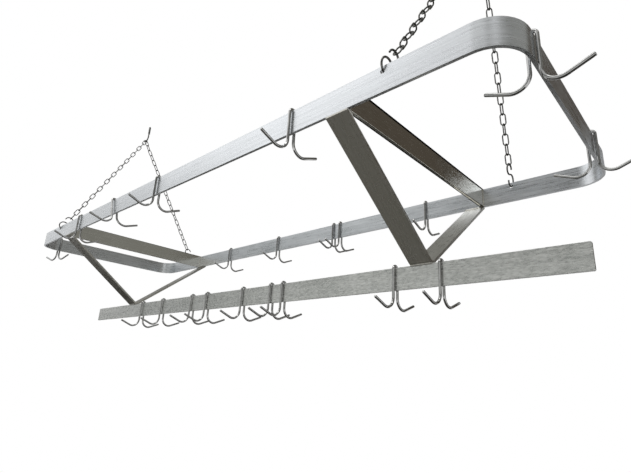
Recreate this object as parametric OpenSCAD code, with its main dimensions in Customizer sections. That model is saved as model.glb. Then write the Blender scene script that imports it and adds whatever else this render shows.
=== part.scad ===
// Hanging pot rack: a round-cornered ring of flat bar with two V braces, a lower middle bar
// and loose wire pot hooks, hung on four chains from two screw hooks.
// X runs along the rack, Y across it and Z up. The origin is on the ceiling, midway between
// the two screw hooks.

/* [Flat bar] */
// Height of the bar that the frame is made of
bar_h = 50.8; // [30:0.1:80]
// Thickness of the bar
bar_t = 6.35; // [4:0.05:8]

/* [Ring] */
// Overall length of the ring
ring_l = 1942; // [1800:1:2400]
// Overall width of the ring
ring_w = 594; // [480:1:720]
// Outside radius of the ring's corners
corner_r = 66; // [30:1:110]
// Height of the ring's lower edge below the ceiling
ring_drop = 615; // [560:1:900]

/* [Braces and middle bar] */
// Distance over the outer faces of the two cross bars
cross_span = 1358; // [1260:1:1400]
// Height from the ring's lower edge down to the middle bar's upper edge
brace_drop = 219; // [140:1:320]
// Width of the bent V bands
band_w = 50.8; // [30:0.1:70]
// Inside radius of the bend at the foot of each V
bend_r = 12; // [6:0.5:25]
// Length of the middle bar
middle_l = 1940; // [1700:1:2300]
// Corner radius at the middle bar's ends
middle_end_r = 3; // [1:0.5:8]
// Radius of the weld beads
weld_r = 2.6; // [1.5:0.1:3]

/* [Hanging holes] */
// Distance between the left and right holes
hole_span = 1508; // [1440:1:1600]
// Diameter of the holes
hole_d = 10; // [9:0.1:11]
// Distance from the ring's upper edge down to the middle of a hole
hole_inset = 9.8; // [9:0.1:11]

/* [Ceiling hooks] */
// Distance between the screws of the two ceiling hooks
screw_span = 1610; // [1540:1:1760]
// Wire diameter of a ceiling hook
hook_wire = 6; // [5:0.1:6.4]
// Inside radius of a ceiling hook's bend
hook_bend_r = 17; // [12:0.5:20]
// Straight length of the shank below the ceiling
hook_neck = 13; // [6:0.5:40]
// How far the bend turns up past its lowest point
hook_lip = 50; // [40:1:80]
// Outside diameter of the screw thread
screw_d = 9.5; // [7:0.1:12]
// Length of the screw above the ceiling
screw_l = 38; // [25:1:60]
// Length of the screw's chamfered end
screw_end_l = 2; // [1:0.5:5]

/* [Chains] */
// Number of links in each chain, the top link included
link_count = 22; // [18:2:24]
// Wire diameter of a link
link_wire = 3.2; // [2.6:0.1:3.4]
// Outside width of a link
link_w = 16.5; // [15.5:0.1:18]
// Wire diameter of an S hook
s_wire = 4; // [3:0.1:4.2]
// Height of an S hook from wire centre to wire centre
s_hook_h = 60; // [52:1:66]
// Part of an S hook's height that its lower loop takes
s_low_share = 0.53; // [0.5:0.01:0.56]

/* [Pot hooks] */
// Wire diameter of a pot hook
pot_wire = 6.35; // [4:0.05:8]
// Clearance between a pot hook's leg and the face of the bar
leg_clear = 1.45; // [0.8:0.05:3]
// Depth from the bar's upper edge to where a leg starts to bend
leg_drop = 66; // [60:1:120]
// Bend radius at the foot of a leg
prong_bend_r = 24; // [12:0.5:30]
// Upward slope of a prong
prong_rise = 22; // [10:1:40]
// Distance from the bar's middle to the tip of a prong
prong_reach = 75; // [55:1:110]

/* [Hidden] */
// Running clearance where one loose piece rests on another
seat_gap = 0.3;
// Clearance of the top links on the ceiling hook's curved wire
saddle_gap = 0.5;
// Sideways gap between the two top links of one ceiling hook
link_side_gap = 0.6;
// Clearance of the second links on the top links, where the chains swing
swing_gap = 0.4;
// A bend is thinner than the straights beside it by this much all round, and reaches this far
// into them
bend_ease = 0.05;
bend_lap = 0.6;
// Overrun of every cut
over = 1;
$fn = 48;

steel = "lightgray";
zinc = "darkgray";
chrome = "silver";

ring_bottom = -ring_drop;
ring_top = ring_bottom + bar_h;
inner_y = ring_w / 2 - bar_t;
bar_y = ring_w / 2 - bar_t / 2;
bar_x = ring_l / 2 - bar_t / 2;
cross_out = cross_span / 2;
cross_in = cross_out - bar_t;

// The V's foot rests on the middle bar's upper edge
middle_top = ring_bottom - brace_drop;
middle_bottom = middle_top - bar_h;
bend_out_r = bend_r + bar_t;
bend_z = middle_top + bend_out_r;
// A leg's upper face runs tangent to the bend's inside and meets the ring's inner lower edge
leg_rise = ring_bottom - bend_z;
leg_chord = sqrt(inner_y ^ 2 + leg_rise ^ 2);
leg_angle = atan2(leg_rise, inner_y) + asin(bend_r / leg_chord);

// The chains gather at the lowest point of a ceiling hook's bend, outwards of its shank
hook_r = hook_wire / 2;
hook_mid_r = hook_bend_r + hook_r;
hook_x = screw_span / 2 + hook_mid_r;
hook_drop = hook_neck + hook_mid_r;

link_r = link_wire / 2;
link_in_r = link_w / 2 - link_wire;
link_mid_r = link_in_r + link_r;
s_r = s_wire / 2;
s_low_r = s_hook_h * s_low_share / 2;
s_up_r = s_hook_h / 2 - s_low_r;
// The straight crossing between its loops leans the S, so that both loops hang in line
s_tilt = atan2(s_wire, s_hook_h);
s_line_l = norm([s_wire, s_hook_h]);
// Angle that each loop of an S hook turns through
s_turn = 270;

// An S hook's wire passes a hole at the chain's lean, close under the hole's upper edge
hole_x = hole_span / 2;
hole_z = ring_top - hole_inset;
chain_lean = atan2(bar_y, -hook_drop - hole_z);
hole_play = hole_d / 2 - s_r / cos(chain_lean) - bar_t / 2 * tan(chain_lean);
s_seat_z = hole_z + hole_play - seat_gap - (bar_t / 2) ^ 2 / s_low_r;

// A chain runs straight from the middle of a ceiling hook's bend to the wire in a hole
function chain_top(side) = [side * hook_x, 0, -hook_drop];
function chain_foot(side, bar) = [side * hole_x, bar * bar_y, s_seat_z];
function unit(v) = v / norm(v);
chain_l = norm(chain_foot(1, 1) - chain_top(1));
// Distance from the wire of the ceiling hook to the middle of the top link's upper bend
top_seat = link_in_r - hook_r - saddle_gap;
// How far two neighbouring links reach into each other, between the middles of their bends
link_reach = 2 * link_mid_r - link_wire - seat_gap;
// Distance from the last link's lower bend to the wire of the S hook
s_seat = link_in_r - s_r - seat_gap;
link_pitch = (chain_l - top_seat - s_line_l - s_seat + link_reach) / link_count;
link_straight = link_pitch - link_reach;
// The two top links of a hook hang beside each other, each this far from the middle. The second
// link rests on the top link's bottom wire that far off its own middle.
top_offset = (link_wire + link_side_gap) / 2;
swing_seat = sqrt((link_in_r - link_r - swing_gap) ^ 2 - top_offset ^ 2);
top_straight = link_straight + link_in_r - link_r - seat_gap - swing_seat;

// Pot hook
pot_r = pot_wire / 2;
arch_in_r = bar_t / 2 + leg_clear;
arch_r = arch_in_r + pot_r;
// The arch's middle lies below the bar's upper edge, so that the arch rests on both its corners
arch_z = -sqrt((arch_in_r - seat_gap) ^ 2 - (bar_t / 2) ^ 2);
prong_start = arch_r + prong_bend_r * (1 + sin(prong_rise));
prong_l = (prong_reach - prong_start) / cos(prong_rise);

// Places of the pot hooks, as shares of half the span of the cross bars, with the turn of each
// about the vertical and its lean along the bar
near_shares = [-0.82, -0.418, 0, 0.786];
near_turns = [0, 0, 0, 0];
near_leans = [0, -20, 0, 0];
far_shares = [-0.652, -0.2, 0.218, 0.261, 0.745];
far_turns = [0, 0, 0, 0, 0];
middle_shares = [-0.839, -0.614, -0.325, -0.196, 0.079, 0.264, 0.336, 0.865, 1.028];
middle_turns = [0, 0, 0, 0, 0, 0, 0, 0, 0];
// Places on the end bars, as shares of half the straight width between the corners
left_shares = [-0.97];
left_turns = [14];
right_shares = [-0.944, 0.619];
right_turns = [0, 0];

function numbered(name, places) = [for (i = [1:len(places)]) str(name, "_", i)];
near_names = numbered("pot_hook_near", near_shares);
far_names = numbered("pot_hook_far", far_shares);
middle_names = numbered("pot_hook_middle", middle_shares);
left_names = numbered("pot_hook_left", left_shares);
right_names = numbered("pot_hook_right", right_shares);
function side_name(side) = side < 0 ? "left" : "right";
function bar_name(bar) = bar < 0 ? "near" : "far";
function sided(name, side) = str(name, "_", side_name(side));
function cornered(name, side, bar) = str(name, "_", bar_name(bar), "_", side_name(side));
sided_parts = ["ceiling_hook", "cross_bar", "v_brace"];
cornered_parts = ["top_link", "chain", "s_hook"];

// Rectangle about the origin with round corners
module rounded_rect(l, w, r) {
    square([l - 2 * r, w], center = true);
    square([l, w - 2 * r], center = true);
    for (x = [-1, 1], y = [-1, 1])
        translate([x * (l / 2 - r), y * (w / 2 - r)]) circle(r = r);
}

// Carries a shape drawn in the XY plane into the YZ plane, its height along X
module across() {
    rotate([90, 0, 90]) children();
}

// Bend of a wire that starts at the origin along Z and turns towards X, or away from X where
// the angle is negative
module wire_bend(r, mid_r, angle) {
    lap = atan(bend_lap / mid_r);
    rotate([0, 0, angle < 0 ? 180 : 0])
        translate([mid_r, 0, 0]) rotate([90, 0, 180]) rotate([0, 0, -lap])
            rotate_extrude(angle = abs(angle) + 2 * lap)
                translate([mid_r, 0]) circle(r = r - bend_ease);
}

// Wire that starts at the origin along Z. Each run is a straight length, then a bend's radius
// and angle. Children stand at its end.
module wire(r, runs, n = 0) {
    run = runs[n];
    mid_r = run[1];
    angle = run[2];
    if (run[0] > 0) cylinder(h = run[0], r = r);
    translate([0, 0, run[0]]) {
        if (angle != 0) wire_bend(r, mid_r, angle);
        translate([sign(angle) * mid_r * (1 - cos(angle)), 0, mid_r * sin(abs(angle))])
            rotate([0, angle, 0])
                if (n < len(runs) - 1) wire(r, runs, n + 1) children();
                else children();
    }
}

// Chamfered end of a wire
module wire_tip(r) {
    cylinder(h = r / 2, r1 = r, r2 = r / 2);
}

// Puts a shape at one point with its downward axis towards another
module hanging(from, to) {
    u = unit(to - from);
    translate(from) rotate([asin(u.y), atan2(-u.x, -u.z), 0]) children();
}

module outer_ring() {
    color(steel) difference() {
        translate([0, 0, ring_bottom]) linear_extrude(bar_h) difference() {
            rounded_rect(ring_l, ring_w, corner_r);
            rounded_rect(ring_l - 2 * bar_t, ring_w - 2 * bar_t, corner_r - bar_t);
        }
        for (side = [-1, 1], bar = [-1, 1])
            translate([side * hole_x, bar * bar_y, hole_z]) rotate([90, 0, 0])
                cylinder(h = bar_t + 2 * over, d = hole_d, center = true);
    }
}

// Cross bar on edge between the ring's long sides, with a weld bead down each corner
module cross_bar(side) {
    color(steel) translate([side < 0 ? -cross_out : cross_in, 0, ring_bottom]) {
        translate([0, -inner_y, 0]) cube([bar_t, 2 * inner_y, bar_h]);
        intersection() {
            for (x = [0, bar_t], bar = [-1, 1])
                translate([x, bar * inner_y, 0]) cylinder(h = bar_h, r = weld_r);
            translate([-weld_r, -inner_y, 0]) cube([bar_t + 2 * weld_r, 2 * inner_y, bar_h]);
        }
    }
}

// Bent band under a cross bar: its legs end against the ring's lower edge, and beads weld its
// foot to the middle bar and its legs to the ring
module v_brace(side) {
    // The upper bead stops short of the cross bar's own bead
    bead_l = band_w - bar_t - 2 * weld_r;
    bead_x = side < 0 ? band_w - bead_l : 0;
    lap = atan(bend_lap / bend_r);
    color(steel) translate([side < 0 ? -cross_out : cross_out - band_w, 0, 0]) across() {
        translate([0, bend_z, 0]) rotate([0, 0, -90 - leg_angle - lap])
            rotate_extrude(angle = 2 * (leg_angle + lap)) translate([bend_r + bend_ease, 0])
                square([bar_t - 2 * bend_ease, band_w]);
        for (bar = [0, 1]) mirror([bar, 0, 0]) {
            linear_extrude(band_w) intersection() {
                translate([0, bend_z]) rotate(leg_angle)
                    translate([0, -bend_out_r]) square([leg_chord + bend_out_r, bar_t]);
                translate([0, middle_top]) square([ring_w / 2, brace_drop]);
            }
            linear_extrude(band_w) difference() {
                translate([bar_t / 2, middle_top]) circle(r = weld_r);
                translate([0, middle_bottom]) square([bar_t / 2, bar_h]);
            }
            translate([0, 0, bead_x]) linear_extrude(bead_l) difference() {
                translate([inner_y, ring_bottom]) circle(r = weld_r);
                translate([inner_y, ring_bottom]) square([bar_t, bar_h]);
            }
        }
    }
}

module middle_bar() {
    color(steel) translate([0, bar_t / 2, (middle_top + middle_bottom) / 2])
        rotate([90, 0, 0]) linear_extrude(bar_t) rounded_rect(middle_l, bar_h, middle_end_r);
}

// Screw hook: its thread goes up into the ceiling and its bend turns out towards the rack's end
module ceiling_hook(side) {
    color(zinc) translate([side * screw_span / 2, 0, 0]) rotate([0, 0, side < 0 ? 180 : 0]) {
        cylinder(h = screw_l - screw_end_l, d = screw_d);
        translate([0, 0, screw_l - screw_end_l])
            cylinder(h = screw_end_l, d1 = screw_d, d2 = screw_d - 2 * screw_end_l);
        rotate([180, 0, 0])
            wire(hook_r, [[hook_neck, hook_mid_r, 90 + hook_lip], [hook_r, 0, 0]])
                wire_tip(hook_r);
    }
}

// Oval link about the origin in the XZ plane
module link(straight) {
    for (turn = [0, 180])
        rotate([0, turn, 0]) translate([-link_mid_r, 0, -straight / 2])
            wire(link_r, [[straight, link_mid_r, 180]]);
}

// The first link, loose on the ceiling hook beside the other chain's
module top_link(side, bar) {
    color(zinc) translate([bar * top_offset, 0, 0])
        hanging(chain_top(side), chain_foot(side, bar))
            translate([0, 0, -top_seat - top_straight / 2]) rotate([0, 0, 90]) link(top_straight);
}

// The links after the first, each at right angles to the one above it
module chain(side, bar) {
    color(zinc) hanging(chain_top(side), chain_foot(side, bar))
        for (k = [1:link_count - 1])
            translate([0, 0, -top_seat - link_straight / 2 - k * link_pitch])
                rotate([0, 0, 90 * (k + 1)]) link(link_straight);
}

// S hook with its lower loop through a hole of the ring
module s_hook(side, bar) {
    color(zinc) hanging(chain_foot(side, bar), 2 * chain_foot(side, bar) - chain_top(side))
        rotate([0, 0, 90 * bar]) rotate([0, s_tilt, 0]) translate([-s_r, 0, 2 * s_low_r]) {
            rotate([0, 90, 0]) wire(s_r, [[s_r, s_low_r, s_turn], [s_r, 0, 0]]) wire_tip(s_r);
            rotate([0, -90, 0]) wire(s_r, [[s_r, s_up_r, s_turn], [s_r, 0, 0]]) wire_tip(s_r);
        }
}

// Pot hook over a bar that runs along Y, from the middle of the bar's upper edge
module pot_hook() {
    color(chrome) {
        translate([-arch_r, 0, arch_z]) wire_bend(pot_r, arch_r, 180);
        for (turn = [0, 180])
            rotate([0, 0, turn]) translate([arch_r, 0, arch_z]) rotate([180, 0, 0])
                wire(pot_r, [[leg_drop + arch_z, prong_bend_r, 90 + prong_rise], [prong_l, 0, 0]])
                    wire_tip(pot_r);
    }
}

module long_bar_hook(x, y, top, turn, lean) {
    translate([x, y, top]) rotate([0, 0, 90 + turn]) rotate([lean, 0, 0]) pot_hook();
}

module end_bar_hook(side, place, turn) {
    translate([side * bar_x, place * (ring_w / 2 - corner_r), ring_top])
        rotate([0, 0, turn]) pot_hook();
}

outer_ring();
middle_bar();
for (side = [-1, 1]) {
    ceiling_hook(side);
    cross_bar(side);
    v_brace(side);
}
for (side = [-1, 1], bar = [-1, 1]) {
    top_link(side, bar);
    chain(side, bar);
    s_hook(side, bar);
}
for (i = [0:len(near_shares) - 1])
    long_bar_hook(near_shares[i] * cross_out, -bar_y, ring_top, near_turns[i], near_leans[i]);
for (i = [0:len(far_shares) - 1])
    long_bar_hook(far_shares[i] * cross_out, bar_y, ring_top, far_turns[i], 0);
for (i = [0:len(middle_shares) - 1])
    long_bar_hook(middle_shares[i] * cross_out, 0, middle_top, middle_turns[i], 0);
for (i = [0:len(left_shares) - 1])
    end_bar_hook(-1, left_shares[i], left_turns[i]);
for (i = [0:len(right_shares) - 1])
    end_bar_hook(1, right_shares[i], right_turns[i]);
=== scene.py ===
"""Looks of the hanging pot rack: brushed flat bar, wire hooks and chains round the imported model."""

from math import asin, atan2, cos, hypot, pi, radians, sin, sqrt, tan

import bmesh
import bpy
from mathutils import Matrix, Vector


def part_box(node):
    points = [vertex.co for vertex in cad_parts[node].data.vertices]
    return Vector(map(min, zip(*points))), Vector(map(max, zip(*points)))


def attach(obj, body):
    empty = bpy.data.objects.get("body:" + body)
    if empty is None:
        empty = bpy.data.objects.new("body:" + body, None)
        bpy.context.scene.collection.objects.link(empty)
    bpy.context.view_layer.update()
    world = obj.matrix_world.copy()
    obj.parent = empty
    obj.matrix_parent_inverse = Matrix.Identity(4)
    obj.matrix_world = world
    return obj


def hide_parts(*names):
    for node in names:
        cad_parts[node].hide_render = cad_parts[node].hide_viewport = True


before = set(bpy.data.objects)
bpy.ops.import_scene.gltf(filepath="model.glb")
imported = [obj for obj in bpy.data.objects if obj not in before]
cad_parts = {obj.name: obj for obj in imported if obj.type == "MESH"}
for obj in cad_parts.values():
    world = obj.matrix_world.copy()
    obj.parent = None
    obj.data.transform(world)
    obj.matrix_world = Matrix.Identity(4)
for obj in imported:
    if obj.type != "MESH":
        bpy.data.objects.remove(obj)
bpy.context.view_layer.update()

# Sizes shared with the part's source, in metres
MM = 0.001
ring_low, ring_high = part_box("outer_ring")
middle_low, middle_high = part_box("middle_bar")
bar_t = middle_high.y - middle_low.y
ring_bottom, ring_top = ring_low.z, ring_high.z
middle_top = middle_high.z
bar_x = ring_high.x - bar_t / 2
bar_y = ring_high.y - bar_t / 2
inner_y = ring_high.y - bar_t
corner_r = 66 * MM
cross_out = 679 * MM
band_w = 50.8 * MM
hole_x = 754 * MM
hole_d = 10 * MM
hole_inset = 9.8 * MM
seat_gap = 0.3 * MM

hook_r = 3 * MM
hook_mid_r = 20 * MM
hook_neck = 13 * MM
hook_lip = radians(50)
screw_x = 805 * MM
screw_r = 4.75 * MM
screw_l = 38 * MM

link_count = 22
link_r = 1.6 * MM
link_in_r = 5.05 * MM
link_mid_r = link_in_r + link_r
saddle_gap = 0.5 * MM
swing_gap = 0.4 * MM
top_offset = 1.9 * MM

s_r = 2 * MM
s_hook_h = 60 * MM
s_low_share = 0.53
s_low_r = s_hook_h * s_low_share / 2
s_up_r = s_hook_h / 2 - s_low_r
s_tilt = atan2(2 * s_r, s_hook_h)
s_line_l = hypot(2 * s_r, s_hook_h)
s_turn = radians(270)

pot_r = 3.175 * MM
leg_clear = 1.45 * MM
arch_in_r = bar_t / 2 + leg_clear
arch_r = arch_in_r + pot_r
arch_z = -sqrt((arch_in_r - seat_gap) ** 2 - (bar_t / 2) ** 2)
leg_drop = 66 * MM
prong_bend_r = 24 * MM
prong_rise = radians(22)
prong_reach = 75 * MM
prong_l = (prong_reach - arch_r - prong_bend_r * (1 + sin(prong_rise))) / cos(prong_rise)

# Places of the pot hooks, as shares of half the cross bars' span or of half an end bar
near_shares = [-0.82, -0.418, 0, 0.786]
far_shares = [-0.652, -0.2, 0.218, 0.261, 0.745]
middle_shares = [-0.839, -0.614, -0.325, -0.196, 0.079, 0.264, 0.336, 0.865, 1.028]
left_shares = [-0.97]
right_shares = [-0.944, 0.619]
hook_leans = {"pot_hook_near_2": radians(-20)}
hook_turns = {"pot_hook_left_1": radians(14)}

# Details that only the looks have
screw_core_r = screw_r * 0.78
screw_ridge = 0.75 * MM
screw_turns = 11.0
link_slack = radians(5)
hook_sides, s_hook_sides, link_sides = 24, 20, 12


class Value:
    """A number or colour out of a node. Arithmetic on numbers adds their Math nodes."""

    def __init__(self, nodes, socket):
        self.nodes = nodes
        self.socket = socket

    def math(self, operation, first, second=0.0):
        return self.nodes.add("ShaderNodeMath", {"operation": operation}, {0: first, 1: second})

    def __add__(self, other):
        return self.math("ADD", self, other)

    def __sub__(self, other):
        return self.math("SUBTRACT", self, other)

    def __rsub__(self, other):
        return self.math("SUBTRACT", other, self)

    def __mul__(self, other):
        return self.math("MULTIPLY", self, other)

    def root(self):
        return self.math("SQRT", self)

    def greater(self, other):
        return self.math("MAXIMUM", self, other)

    __radd__ = __add__
    __rmul__ = __mul__


class Nodes:
    """A node tree being built, of a material, the world or a shape."""

    def __init__(self, tree):
        self.tree = tree
        tree.nodes.clear()

    def add(self, kind, settings=None, inputs=None, out=0):
        """Adds a node: its settings, then its sockets' values or links. Returns one output, or
        the node where it has none."""
        node = self.tree.nodes.new(kind)
        for name, setting in (settings or {}).items():
            setattr(node, name, setting)
        for key, given in (inputs or {}).items():
            if isinstance(given, Value):
                self.tree.links.new(given.socket, node.inputs[key])
            else:
                node.inputs[key].default_value = given
        return Value(self, node.outputs[out]) if node.outputs else node


class Finish(Nodes):
    """A procedural material. Its patterns read the piece's own place in the rack."""

    def __init__(self, name):
        self.material = bpy.data.materials.new(name)
        self.material.use_nodes = True
        super().__init__(self.material.node_tree)
        self.place = self.add("ShaderNodeTexCoord", out="Object")

    def stretched_noise(self, scale, detail=2.0, distortion=0.0, roughness=0.5):
        """Noise from 0 to 1 with its own number of grains a metre along each axis."""
        spot = self.add("ShaderNodeVectorMath", {"operation": "MULTIPLY"}, {0: self.place, 1: scale})
        return self.add("ShaderNodeTexNoise", None, {
            "Vector": spot, "Scale": 1.0, "Detail": detail, "Roughness": roughness,
            "Distortion": distortion})

    def spread(self, value, low, high):
        """The part of value from low to high, opened out to 0 to 1."""
        return self.add("ShaderNodeMapRange", None, {
            "Value": value, "From Min": low, "From Max": high})

    def grain(self, scale, low=0.3, high=0.7, **noise):
        """Stretched noise, opened out because most of it stays near 0.5."""
        return self.spread(self.stretched_noise(scale, **noise), low, high)

    def mixed(self, share, first, second):
        """A colour between two colours."""
        return self.add("ShaderNodeMix", {"data_type": "RGBA"}, {
            0: share, 6: first, 7: second}, out=2)

    def metal(self, colour, roughness, height, depth):
        """Finishes the material as bare metal with a bump of that depth."""
        normal = self.add("ShaderNodeBump", None, {
            "Strength": 1.0, "Distance": depth, "Height": height})
        shader = self.add("ShaderNodeBsdfPrincipled", None, {
            "Base Color": colour, "Roughness": roughness, "Metallic": 1.0, "Normal": normal})
        self.add("ShaderNodeOutputMaterial", None, {"Surface": shader})
        return self.material


def brushed_steel(name, dark, light, along_x_and_y, strokes_a_metre, stroke_share, smoothest=0.2):
    """Flat bar, brushed by hand along its length: long streaks, short wavy strokes and hairlines.
    stroke_share is the strokes' share of the tone, and smoothest is the least roughness."""
    finish = Finish(name)

    def lines(slow, fast, **noise):
        """Grain that changes slowly along the bar and fast across it."""
        scale = (slow, slow, fast) if along_x_and_y else (fast, slow, slow)
        return finish.grain(scale, **noise)

    streaks = lines(1.6, 260, detail=3)
    strokes = lines(strokes_a_metre, 340, detail=2, distortion=0.4)
    hairs = lines(9, 1400, detail=2)
    clouds = finish.grain((7, 7, 7), detail=3)
    # The four shares of the tone add up to 1
    tone = streaks * (0.65 - stroke_share) + strokes * stroke_share + hairs * 0.15 + clouds * 0.2
    colour = finish.mixed(tone, dark, light)
    roughness = strokes * 0.10 + clouds * 0.06 + hairs * 0.05 + smoothest
    height = hairs * 0.35 + strokes * 0.65
    return finish.metal(colour, roughness, height, depth=0.06 * MM)


def drawn_wire(name, dark, light, smoothest):
    """Plated wire: cloudy plating, small dull spots and a faint grain. smoothest is the least
    roughness."""
    finish = Finish(name)
    clouds = finish.grain((60, 60, 60), detail=3)
    grains = finish.grain((900, 900, 900), low=0.35, high=0.65, detail=2)
    spots = finish.grain((260, 260, 260), low=0.58, high=0.68, detail=4)
    colour = finish.mixed(clouds * 0.7 + grains * 0.3, dark, light)
    colour = finish.mixed(spots * 0.35, colour, dark)
    roughness = clouds * 0.04 + grains * 0.02 + spots * 0.06 + smoothest
    return finish.metal(colour, roughness, grains + spots, depth=0.005 * MM)


def weld_metal():
    """Weld beads, left as they cooled: brownish and bluish grey over a scaly surface."""
    finish = Finish("weld_bead")
    clouds = finish.grain((150, 150, 150), detail=3)
    scales = finish.stretched_noise((800, 800, 800), detail=3)
    colour = finish.mixed(clouds, (0.20, 0.18, 0.16, 1), (0.34, 0.35, 0.37, 1))
    return finish.metal(colour, clouds * 0.15 + 0.3, scales, depth=0.08 * MM)


steel_ring = brushed_steel(
    "ring_steel", (0.56, 0.58, 0.60, 1), (0.80, 0.82, 0.845, 1), along_x_and_y=True,
    strokes_a_metre=12, stroke_share=0.3)
steel_middle = brushed_steel(
    "middle_bar_steel", (0.34, 0.35, 0.34, 1), (0.90, 0.90, 0.88, 1), along_x_and_y=True,
    strokes_a_metre=100, stroke_share=0.5)
steel_cross = brushed_steel(
    "cross_bar_steel", (0.62, 0.61, 0.56, 1), (0.80, 0.79, 0.74, 1), along_x_and_y=True,
    strokes_a_metre=60, stroke_share=0.3, smoothest=0.03)
# The bands are the same steel as the other bars. Their darker tone is partly painted shade, for the
# dark surroundings that their faces mirror, and partly the steel's own tone.
steel_band_painted_shade = brushed_steel(
    "band_steel", (0.46, 0.45, 0.41, 1), (0.60, 0.59, 0.55, 1), along_x_and_y=False,
    strokes_a_metre=60, stroke_share=0.3)
# The pot hooks' chrome is set darker than bright chrome is. This is partly painted shade, for the dark
# surroundings that the wire mirrors; the cloudy plating and spots are its own.
hook_wire_painted_shade = drawn_wire(
    "pot_hook_wire", (0.34, 0.34, 0.335, 1), (0.58, 0.58, 0.575, 1), smoothest=0.02)
chain_wire = drawn_wire(
    "chain_wire", (0.09, 0.09, 0.085, 1), (0.21, 0.21, 0.20, 1), smoothest=0.2)
screw_wire = drawn_wire(
    "screw_hook_wire", (0.18, 0.18, 0.17, 1), (0.34, 0.34, 0.33, 1), smoothest=0.24)
weld_bead = weld_metal()


def shape_tree(name, sizes):
    """A new shape tree with a geometry input and output and one named input for each size."""
    tree = bpy.data.node_groups.new(name, "GeometryNodeTree")
    tree.interface.new_socket("Geometry", in_out="INPUT", socket_type="NodeSocketGeometry")
    for size, kind in sizes.items():
        tree.interface.new_socket(size, in_out="INPUT", socket_type=kind)
    tree.interface.new_socket("Geometry", in_out="OUTPUT", socket_type="NodeSocketGeometry")
    nodes = Nodes(tree)
    given = tree.nodes.new("NodeGroupInput")
    return nodes, {socket.name: Value(nodes, socket) for socket in given.outputs if socket.name}


def close_tree(nodes, shape, material):
    """Ends a shape tree: plain, smooth geometry with its material."""
    plain = nodes.add("GeometryNodeRealizeInstances", None, {0: shape})
    smooth = nodes.add("GeometryNodeSetShadeSmooth", None, {0: plain})
    dressed = nodes.add("GeometryNodeSetMaterial", None, {"Geometry": smooth, "Material": material})
    nodes.tree.nodes.new("NodeGroupOutput")
    nodes.tree.links.new(dressed.socket, nodes.tree.nodes["Group Output"].inputs[0])
    return nodes.tree


def round_wire(nodes, line, radius, sides):
    """A line of mesh edges as round wire, as thick at each point as the line says."""
    swell = nodes.add("GeometryNodeInputNamedAttribute", {"data_type": "FLOAT"}, {"Name": "thickness"})
    section = nodes.add("GeometryNodeCurvePrimitiveCircle", {"mode": "RADIUS"}, {
        "Resolution": sides, "Radius": radius})
    path = nodes.add("GeometryNodeMeshToCurve", None, {0: line})
    return nodes.add("GeometryNodeCurveToMesh", None, {
        "Curve": path, "Profile Curve": section, "Scale": swell, "Fill Caps": True})


def wire_shape():
    """One wire along the given line."""
    nodes, given = shape_tree("wire", {
        "Wire radius": "NodeSocketFloat", "Sides": "NodeSocketInt", "Finish": "NodeSocketMaterial"})
    wire = round_wire(nodes, given["Geometry"], given["Wire radius"], given["Sides"])
    return close_tree(nodes, wire, given["Finish"])


def chain_shape():
    """Copies of a link down a straight line, each a quarter turn on from the last, give or take."""
    nodes, given = shape_tree("chain", {
        "Wire radius": "NodeSocketFloat", "Sides": "NodeSocketInt", "Links": "NodeSocketInt",
        "Pitch": "NodeSocketFloat", "Slack": "NodeSocketFloat", "Seed": "NodeSocketInt",
        "Finish": "NodeSocketMaterial"})
    link = round_wire(nodes, given["Geometry"], given["Wire radius"], given["Sides"])
    step = nodes.add("ShaderNodeCombineXYZ", None, {"Z": -1 * given["Pitch"]})
    places = nodes.add("GeometryNodeMeshLine", {"mode": "OFFSET"}, {
        "Count": given["Links"], "Offset": step})
    index = nodes.add("GeometryNodeInputIndex")
    slack = nodes.add("FunctionNodeRandomValue", {"data_type": "FLOAT"}, {
        2: -1 * given["Slack"], 3: given["Slack"], "Seed": given["Seed"]}, out=1)
    turn = nodes.add("ShaderNodeCombineXYZ", None, {"Z": index * (pi / 2) + slack})
    turned = nodes.add("FunctionNodeEulerToRotation", None, {0: turn})
    links = nodes.add("GeometryNodeInstanceOnPoints", None, {
        "Points": places, "Instance": link, "Rotation": turned})
    return close_tree(nodes, links, given["Finish"])


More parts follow.
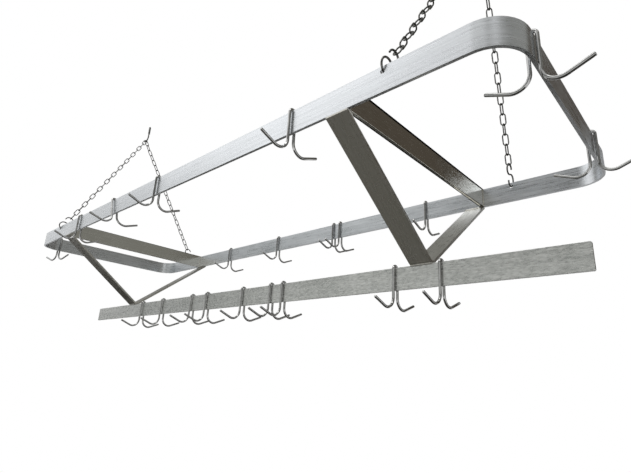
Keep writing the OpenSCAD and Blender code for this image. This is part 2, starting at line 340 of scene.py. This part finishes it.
def thread_shape():
    """A wire shank joined to a threaded, pointed screw."""
    nodes, given = shape_tree("screw", {
        "Core radius": "NodeSocketFloat", "Outer radius": "NodeSocketFloat",
        "Length": "NodeSocketFloat", "Turns": "NodeSocketFloat", "Ridge": "NodeSocketFloat",
        "Finish": "NodeSocketMaterial"})
    sides, ridge_sides, steps_a_turn = 28, 6, 24
    # Shares of the screw's length, and its blunt end as a share of the core's radius
    ridge_share, core_share, point_share = 0.92, 0.95, 0.05
    blunt = 0.5
    ridge_r = given["Outer radius"] - given["Ridge"]
    ridge_line = nodes.add("GeometryNodeCurveSpiral", None, {
        "Resolution": steps_a_turn, "Rotations": given["Turns"], "Start Radius": ridge_r,
        "End Radius": ridge_r, "Height": given["Length"] * ridge_share})
    section = nodes.add("GeometryNodeCurvePrimitiveCircle", {"mode": "RADIUS"}, {
        "Resolution": ridge_sides, "Radius": given["Ridge"]})
    ridge = nodes.add("GeometryNodeCurveToMesh", None, {
        "Curve": ridge_line, "Profile Curve": section, "Fill Caps": True})
    core = nodes.add("GeometryNodeMeshCylinder", {"fill_type": "NGON"}, {
        "Vertices": sides, "Radius": given["Core radius"], "Depth": given["Length"] * core_share})
    lift = nodes.add("ShaderNodeCombineXYZ", None, {"Z": given["Length"] * (core_share / 2)})
    core = nodes.add("GeometryNodeTransform", None, {"Geometry": core, "Translation": lift})
    point = nodes.add("GeometryNodeMeshCone", {"fill_type": "NGON"}, {
        "Vertices": sides, "Radius Top": given["Core radius"] * blunt,
        "Radius Bottom": given["Core radius"], "Depth": given["Length"] * point_share})
    top = nodes.add("ShaderNodeCombineXYZ", None, {"Z": given["Length"] * core_share})
    point = nodes.add("GeometryNodeTransform", None, {"Geometry": point, "Translation": top})
    joined = nodes.tree.nodes.new("GeometryNodeJoinGeometry")
    for part in (ridge, core, point, given["Geometry"]):
        nodes.tree.links.new(part.socket, joined.inputs[0])
    return close_tree(nodes, Value(nodes, joined.outputs[0]), given["Finish"])


def bead_shape():
    """Overlapping ripples of weld along the given lines."""
    nodes, given = shape_tree("weld_ripples", {
        "Bead radius": "NodeSocketFloat", "Ripple": "NodeSocketFloat", "Seed": "NodeSocketInt",
        "Finish": "NodeSocketMaterial"})
    lines = nodes.add("GeometryNodeMeshToCurve", None, {0: given["Geometry"]})
    points = nodes.tree.nodes.new("GeometryNodeCurveToPoints")
    points.mode = "LENGTH"
    nodes.tree.links.new(lines.socket, points.inputs["Curve"])
    nodes.tree.links.new(given["Ripple"].socket, points.inputs["Length"])
    smallest, largest, thinness = 0.88, 1.08, 0.62
    ball = nodes.add("GeometryNodeMeshUVSphere", None, {"Segments": 10, "Rings": 6, "Radius": 1.0})
    size = nodes.add("FunctionNodeRandomValue", {"data_type": "FLOAT"}, {
        2: smallest, 3: largest, "Seed": given["Seed"]}, out=1) * given["Bead radius"]
    scale = nodes.add("ShaderNodeCombineXYZ", None, {"X": size, "Y": size, "Z": size * thinness})
    ripples = nodes.add("GeometryNodeInstanceOnPoints", None, {
        "Points": Value(nodes, points.outputs["Points"]), "Instance": ball,
        "Rotation": Value(nodes, points.outputs["Rotation"]), "Scale": scale})
    return close_tree(nodes, ripples, given["Finish"])


def grown(seed, tree, inputs):
    """The plain mesh that a shape tree makes from a seed mesh."""
    crease = radians(42)
    holder = bpy.data.objects.new("holder", seed)
    bpy.context.scene.collection.objects.link(holder)
    modifier = holder.modifiers.new("shape", "NODES")
    modifier.node_group = tree
    for item in tree.interface.items_tree:
        if item.in_out == "INPUT" and item.name in inputs:
            modifier[item.identifier] = inputs[item.name]
    ready = holder.evaluated_get(bpy.context.evaluated_depsgraph_get())
    mesh = bpy.data.meshes.new_from_object(ready)
    bpy.data.objects.remove(holder)
    mesh.set_sharp_from_angle(angle=crease)
    return mesh


def line_mesh(paths, closed=False):
    """Lines of mesh edges. Each point of a path is a place and how thick the wire is there."""
    verts, edges, thickness = [], [], []
    for path in paths:
        first = len(verts)
        for place, thick in path:
            verts.append(place)
            thickness.append(thick)
        edges += [(n, n + 1) for n in range(first, len(verts) - 1)]
        if closed:
            edges.append((len(verts) - 1, first))
    mesh = bpy.data.meshes.new("line")
    mesh.from_pydata(verts, edges, [])
    mesh.attributes.new("thickness", "FLOAT", "POINT").data.foreach_set("value", thickness)
    return mesh


def bent(runs, heading=0.0):
    """Centreline of a wire in the XZ plane, from the origin and along Z where heading is 0. Each
    run is a straight length, then a bend's radius and its angle towards X."""
    arc_step = radians(7.5)
    x = z = 0.0
    places = [Vector((x, 0, z))]
    for straight, bend_r, angle in runs:
        if straight:
            x += straight * sin(heading)
            z += straight * cos(heading)
            places.append(Vector((x, 0, z)))
        if angle:
            side = bend_r if angle > 0 else -bend_r
            centre_x = x + side * cos(heading)
            centre_z = z - side * sin(heading)
            steps = max(3, round(abs(angle) / arc_step))
            for n in range(1, steps + 1):
                turned = heading + angle * n / steps
                x = centre_x - side * cos(turned)
                z = centre_z + side * sin(turned)
                places.append(Vector((x, 0, z)))
            heading += angle
    return places


# Rounding of a cut wire: how far past its end, in wire radii, and how thick it is there
wire_tip = [(0.42, 0.55), (0.34, 0.84), (0.12, 0.98)]


def tipped(places, radius):
    """A path with its two ends cut off and slightly rounded, a little past its own ends."""
    def tip(end, before):
        out = (end - before).normalized()
        return [(end + out * radius * past, thick) for past, thick in wire_tip]

    inner = [(place, 1.0) for place in places]
    return tip(places[0], places[1]) + inner + tip(places[-1], places[-2])[::-1]


def placed(mesh, matrix):
    """A copy of a mesh, carried to its place in the rack."""
    copy = mesh.copy()
    copy.transform(matrix)
    return copy


def piece(name, mesh, body, slot, *nodes):
    """Shows a mesh as a piece that moves with a body and stands for those CAD nodes."""
    mesh.name = name
    made = bpy.data.objects.new(name, mesh)
    bpy.context.scene.collection.objects.link(made)
    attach(made, body)
    if nodes:
        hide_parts(*nodes)
    return made


def turn(angle, axis):
    """Turns about an axis through the origin."""
    return Matrix.Rotation(angle, 4, axis)


def shift(x, y, z):
    """Moves without turning."""
    return Matrix.Translation((x, y, z))


def eased_bar(node, steel):
    """Stands for a bar of the CAD model, with its edges rounded as mill edges are."""
    edge_r = 0.7 * MM
    same_point = 0.002 * MM
    flat, corner, crease = radians(0.4), radians(50), radians(38)
    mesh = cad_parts[node].data.copy()
    shell = bmesh.new()
    shell.from_mesh(mesh)
    bmesh.ops.remove_doubles(shell, verts=shell.verts, dist=same_point)
    bmesh.ops.dissolve_limit(shell, angle_limit=flat, verts=shell.verts, edges=shell.edges)
    sharp = [edge for edge in shell.edges
             if edge.is_manifold and edge.is_convex and edge.calc_face_angle(0) > corner]
    bmesh.ops.bevel(
        shell, geom=sharp, offset=edge_r, segments=2, profile=0.5, affect="EDGES",
        clamp_overlap=True)
    shell.to_mesh(mesh)
    shell.free()
    mesh.materials.clear()
    mesh.materials.append(steel)
    mesh.shade_smooth()
    mesh.set_sharp_from_angle(angle=crease)
    made = piece(node + "_brushed", mesh, "frame", "bar_steel", node)
    normals = made.modifiers.new("flat faces", "WEIGHTED_NORMAL")
    normals.keep_sharp = True


# Bars
eased_bar("outer_ring", steel_ring)
eased_bar("middle_bar", steel_middle)
for side_name in ("left", "right"):
    eased_bar("cross_bar_" + side_name, steel_cross)
    eased_bar("v_brace_" + side_name, steel_band_painted_shade)

# Weld beads
bead_r = 2.7 * MM
bead_end = 1.5 * MM
ripple_l = 1.9 * MM
bead_lines = []
for side in (-1, 1):
    cross_faces = (side * cross_out, side * (cross_out - bar_t))
    for y in (-inner_y, inner_y):
        for x in cross_faces:
            bead_lines.append([(Vector((x, y, ring_bottom + bead_end)), 1.0),
                               (Vector((x, y, ring_top - bead_end)), 1.0)])
        band_x = (side * (cross_out - band_w + bead_end), side * (cross_out - bar_t - 2 * bead_r))
        bead_lines.append([(Vector((x, y, ring_bottom)), 1.0) for x in band_x])
    for y in (-bar_t / 2, bar_t / 2):
        foot_x = (side * (cross_out - band_w + bead_end), side * (cross_out - bead_end))
        bead_lines.append([(Vector((x, y, middle_top)), 1.0) for x in foot_x])
beads = grown(line_mesh(bead_lines), bead_shape(), {
    "Bead radius": bead_r, "Ripple": ripple_l, "Seed": 4, "Finish": weld_bead})
piece("weld_beads", beads, "frame", "bar_steel")

wire_tree = wire_shape()


def wire(path, radius, sides, finish, closed=False):
    """Round wire along a path."""
    return grown(line_mesh([path], closed), wire_tree, {
        "Wire radius": radius, "Sides": sides, "Finish": finish})


# Pot hooks
half_hook = bent([
    (0, arch_r, pi / 2),
    (leg_drop + arch_z, prong_bend_r, -pi / 2 - prong_rise),
    (prong_l, 0, 0)], heading=pi / 2)
half_hook = [place + Vector((0, 0, arch_z + arch_r)) for place in half_hook]
other_half = [Vector((-place.x, 0, place.z)) for place in half_hook[:0:-1]]
inside_cad = 0.08 * MM
pot_hook_wire = wire(tipped(other_half + half_hook, pot_r), pot_r - inside_cad, hook_sides, hook_wire_painted_shade)


def pot_hook(bar, number, x, y, top, quarter):
    """One pot hook on its bar, at the middle of the bar's upper edge."""
    node = f"pot_hook_{bar}_{number}"
    matrix = (shift(x, y, top) @ turn(quarter + hook_turns.get(node, 0), "Z")
              @ turn(hook_leans.get(node, 0), "X"))
    piece(node + "_wire", placed(pot_hook_wire, matrix), f"{bar}_hook_{number}", "hook_chrome", node)


long_bars = [("near", near_shares, -bar_y, ring_top), ("far", far_shares, bar_y, ring_top),
             ("middle", middle_shares, 0, middle_top)]
for bar, shares, y, top in long_bars:
    for number, share in enumerate(shares, 1):
        pot_hook(bar, number, share * cross_out, y, top, pi / 2)
end_half = ring_high.y - corner_r
for bar, shares, x in (("left", left_shares, -bar_x), ("right", right_shares, bar_x)):
    for number, share in enumerate(shares, 1):
        pot_hook(bar, number, x, share * end_half, ring_top, 0)

# Ceiling hooks
hook_path = tipped(bent([
    (hook_neck, hook_mid_r, pi / 2 + hook_lip),
    (hook_r, 0, 0)]), hook_r)
thread_tree = thread_shape()
for side, side_name in ((-1, "left"), (1, "right")):
    node = "ceiling_hook_" + side_name
    shank = wire(hook_path, hook_r, hook_sides, screw_wire)
    shank.transform(turn(pi, "X"))
    hook = grown(shank, thread_tree, {
        "Core radius": screw_core_r, "Outer radius": screw_r, "Length": screw_l,
        "Turns": screw_turns, "Ridge": screw_ridge, "Finish": screw_wire})
    hook.transform(shift(side * screw_x, 0, 0) @ turn(pi if side < 0 else 0, "Z"))
    piece(node + "_threaded", hook, "ceiling_hooks", "hook_zinc", node)

# Chains
hook_x = screw_x + hook_mid_r
hook_drop = hook_neck + hook_mid_r
hole_z = ring_top - hole_inset
lean = atan2(bar_y, -hook_drop - hole_z)
hole_play = hole_d / 2 - s_r / cos(lean) - bar_t / 2 * tan(lean)
s_seat_z = hole_z + hole_play - seat_gap - (bar_t / 2) ** 2 / s_low_r
chain_l = Vector((hole_x - hook_x, bar_y, s_seat_z + hook_drop)).length
top_seat = link_in_r - hook_r - saddle_gap
link_reach = 2 * link_mid_r - 2 * link_r - seat_gap
link_pitch = (chain_l - top_seat - s_line_l - (link_in_r - s_r - seat_gap) + link_reach) / link_count
link_straight = link_pitch - link_reach
swing_seat = sqrt((link_in_r - link_r - swing_gap) ** 2 - top_offset ** 2)
top_straight = link_straight + link_in_r - link_r - seat_gap - swing_seat


def link_path(straight):
    """An oval link round the origin in the XZ plane, thicker where its side is welded."""
    half = straight / 2
    weld_l = 1.4 * MM
    swell, crest = 1.07, 1.12
    side = [(-half, 1.0), (-2 * weld_l, 1.0), (-weld_l, swell), (0, crest), (weld_l, swell),
            (2 * weld_l, 1.0), (half, 1.0)]
    steps = 9
    path = [(Vector((-link_mid_r, 0, z)), thick) for z, thick in side]
    for end in (1, -1):
        for n in range(1, steps):
            angle = pi * n / steps
            path.append((Vector((-end * link_mid_r * cos(angle), 0,
                                 end * (half + link_mid_r * sin(angle)))), 1.0))
        if end > 0:
            path.append((Vector((link_mid_r, 0, half)), 1.0))
            path.append((Vector((link_mid_r, 0, -half)), 1.0))
    return path


def hanging(start, end):
    """Carries a shape that hangs from the origin to one point, with its foot towards another."""
    way = (end - start).normalized()
    return shift(*start) @ turn(atan2(-way.x, -way.z), "Y") @ turn(asin(way.y), "X")


low_loop = [turn(pi / 2, "Y") @ place for place in bent([(s_r, s_low_r, s_turn), (s_r, 0, 0)])]
up_loop = [turn(-pi / 2, "Y") @ place for place in bent([(s_r, s_up_r, s_turn), (s_r, 0, 0)])]
s_path = tipped(low_loop[:0:-1] + up_loop[1:], s_r)
chain_tree = chain_shape()
seed = 1
for side, side_name in ((-1, "left"), (1, "right")):
    for bar, bar_name in ((-1, "near"), (1, "far")):
        corner = f"{bar_name}_{side_name}"
        top = Vector((side * hook_x, 0, -hook_drop))
        foot = Vector((side * hole_x, bar * bar_y, s_seat_z))
        down = hanging(top, foot)
        top_link = wire(link_path(top_straight), link_r, link_sides, chain_wire, closed=True)
        top_link.transform(shift(bar * top_offset, 0, 0) @ down
                           @ shift(0, 0, -top_seat - top_straight / 2) @ turn(pi / 2, "Z"))
        piece(f"top_link_{corner}_welded", top_link, "top_links", "chain_zinc", "top_link_" + corner)
        links = grown(line_mesh([link_path(link_straight)], closed=True), chain_tree, {
            "Wire radius": link_r, "Sides": link_sides, "Links": link_count - 1,
            "Pitch": link_pitch, "Slack": link_slack, "Seed": seed, "Finish": chain_wire})
        links.transform(down @ shift(0, 0, -top_seat - link_straight / 2 - link_pitch) @ turn(pi, "Z"))
        piece(f"chain_{corner}_links", links, side_name + "_chains", "chain_zinc", "chain_" + corner)
        at_hole = hanging(foot, 2 * foot - top) @ turn(bar * pi / 2, "Z") @ turn(s_tilt, "Y")
        s_hook = wire(s_path, s_r, s_hook_sides, chain_wire)
        s_hook.transform(at_hole @ shift(-s_r, 0, 2 * s_low_r))
        piece(f"s_hook_{corner}_wire", s_hook, side_name + "_chains", "chain_zinc", "s_hook_" + corner)
        seed += 1

# Camera, fitted to the photograph: focal length in its pixels and angles in radians
bpy.context.scene.view_settings.view_transform = "Standard"
photo_w = 631
focal_px = 445.232
camera_place = Vector((1117.709, -824.656, -1070.763)) * MM
camera_yaw, camera_pitch, camera_roll = -0.7573, 0.3024, 0.0544
forward = Vector((cos(camera_pitch) * sin(camera_yaw), cos(camera_pitch) * cos(camera_yaw),
                  sin(camera_pitch)))
level = forward.cross(Vector((0, 0, 1))).normalized()
upright = level.cross(forward)
right = level * cos(camera_roll) + upright * sin(camera_roll)
up = upright * cos(camera_roll) - level * sin(camera_roll)
camera_data = bpy.data.cameras.new("camera")
camera_data.sensor_width = 36
camera_data.lens = camera_data.sensor_width * focal_px / photo_w
camera_data.clip_start = 0.01
camera = bpy.data.objects.new("camera", camera_data)
camera.matrix_world = Matrix.LocRotScale(
    camera_place, Matrix((right, up, -forward)).transposed().to_quaternion(), None)
bpy.context.scene.collection.objects.link(camera)
bpy.context.scene.camera = camera

# World, floor, reflector cards and lamps
floor_z = -2.45
floor_r = 6
fade_start, fade_end = 2.2, 4.6
rack_middle = Vector((0, 0, -0.6))
world = bpy.data.worlds.new("studio")
world.use_nodes = True
bpy.context.scene.world = world
sky = Nodes(world.node_tree)
seen = sky.add("ShaderNodeLightPath", out="Is Camera Ray").greater(
    sky.add("ShaderNodeLightPath", out="Is Glossy Ray")).greater(
    sky.add("ShaderNodeLightPath", out="Is Transmission Ray"))
room = sky.add("ShaderNodeBackground", None, {"Color": (1, 1, 1, 1), "Strength": 0.7})
white = sky.add("ShaderNodeBackground", None, {"Color": (1, 1, 1, 1), "Strength": 1.0})
shown = sky.add("ShaderNodeMixShader", None, {0: seen, 1: room, 2: white})
sky.add("ShaderNodeOutputWorld", None, {"Surface": shown})


def sheet(name, corners, material):
    """A flat sheet of the studio, not part of the rack."""
    mesh = bpy.data.meshes.new(name)
    mesh.from_pydata(corners, [], [(0, 1, 2, 3)])
    mesh.materials.append(material)
    made = bpy.data.objects.new(name, mesh)
    bpy.context.scene.collection.objects.link(made)
    return made


def floor_paint():
    """Pale floor that runs out to the white of the backdrop."""
    finish = Finish("pale_floor")
    x = finish.add("ShaderNodeSeparateXYZ", None, {0: finish.place}, out=0)
    y = finish.add("ShaderNodeSeparateXYZ", None, {0: finish.place}, out=1)
    fade = finish.spread((x * x + y * y).root(), fade_start, fade_end)
    paint = finish.add("ShaderNodeBsdfPrincipled", None, {
        "Base Color": (0.86, 0.86, 0.86, 1), "Roughness": 0.8})
    clear = finish.add("ShaderNodeBsdfTransparent", None, {"Color": (1, 1, 1, 1)})
    mix = finish.add("ShaderNodeMixShader", None, {0: fade, 1: paint, 2: clear})
    finish.add("ShaderNodeOutputMaterial", None, {"Surface": mix})
    return finish.material


def card_paint(name, colour):
    """Even glow of a reflector card."""
    finish = Finish(name)
    glow = finish.add("ShaderNodeEmission", None, {"Color": (*colour, 1), "Strength": 1.0})
    finish.add("ShaderNodeOutputMaterial", None, {"Surface": glow})
    return finish.material


def reflector(name, low, high, colour):
    """A level or upright card between two of its corners. Only the metal's reflections see it."""
    (x0, y0, z0), (x1, y1, z1) = low, high
    if z0 == z1:
        corners = [(x0, y0, z0), (x1, y0, z0), (x1, y1, z0), (x0, y1, z0)]
    else:
        corners = [(x0, y0, z0), (x1, y1, z0), (x1, y1, z1), (x0, y0, z1)]
    card = sheet(name, corners, card_paint(name, colour))
    card.visible_camera = False
    card.visible_diffuse = False
    card.visible_transmission = False
    card.visible_shadow = False


def lamp(name, place, size, power):
    """A soft square lamp that faces the rack."""
    data = bpy.data.lights.new(name, "AREA")
    data.shape = "SQUARE"
    data.size = size
    data.energy = power
    made = bpy.data.objects.new(name, data)
    made.location = place
    made.rotation_euler = (rack_middle - made.location).to_track_quat("-Z", "Y").to_euler()
    bpy.context.scene.collection.objects.link(made)


sheet("floor", [(x * floor_r, y * floor_r, floor_z) for x, y in ((-1, -1), (1, -1), (1, 1), (-1, 1))],
      floor_paint())

# Reflector cards: a name, two corners and a colour. In the photograph's view the near bar mirrors
# the white above the front cards, the far bar the front middle and dim ones, the lower middle bar
# the front left and low ones, the left end and cross bars the right card, and the right ones the
# back card, with a bright patch from the window. The round wires mirror the others too.
cards = [
    ("card_low", (-7.5, -2.6, -2.3), (2.8, 4.4, -2.3), (0.06, 0.058, 0.052)),
    ("card_low_middle", (-1.2, -1.5, -2.28), (0.1, 0.3, -2.28), (0.18, 0.175, 0.16)),
    ("card_front_left", (-14, -4, -1.6), (-5.5, -4, 0.62), (0.31, 0.32, 0.31)),
    ("card_front_low", (-5.5, -4, -1.6), (2.2, -4, 0.62), (0.62, 0.63, 0.61)),
    ("card_front_middle", (-9, -4, 0.62), (-1.5, -4, 1.9), (0.17, 0.185, 0.18)),
    ("card_front_dim", (-1.5, -4, 0.62), (2.2, -4, 1.9), (0.02, 0.02, 0.02)),
    ("card_front_high", (-0.3, -4, 1.9), (2.2, -4, 5.0), (0.80, 0.80, 0.79)),
    ("card_front_right", (2.2, -4, -1.6), (7, -7, 6.5), (0.36, 0.36, 0.35)),
    ("card_back_left", (-7, 5, -0.6), (0.6, 5, 5.5), (0.20, 0.195, 0.18)),
    ("card_back", (0.6, 5, -1.3), (7, 5, 5.5), (0.085, 0.072, 0.058)),
    ("card_window", (2.1, 4.9, 0.9), (2.74, 4.9, 1.75), (1.25, 1.32, 1.38)),
    ("card_right", (7, -7, -0.6), (7, 5, 6.5), (0.23, 0.23, 0.215)),
    ("card_left", (-7, -0.8, -1.0), (-7, 5, 4.5), (0.25, 0.25, 0.24)),
    ("card_top_left", (-3, -0.5, 3.2), (2, 6, 3.2), (0.23, 0.23, 0.215)),
    ("card_top_right", (2, -0.5, 3.2), (6, 3.2, 3.2), (0.32, 0.32, 0.30)),
    ("card_overhead", (-2, -2.2, 3.6), (2, -0.8, 3.6), (3.6, 3.6, 3.55)),
]
for name, low, high, colour in cards:
    reflector(name, low, high, colour)
lamp("key_lamp", (-2.8, -3.0, 2.5), size=3.0, power=12)
lamp("fill_lamp", (3.6, -3.4, 0.2), size=2.0, power=8)
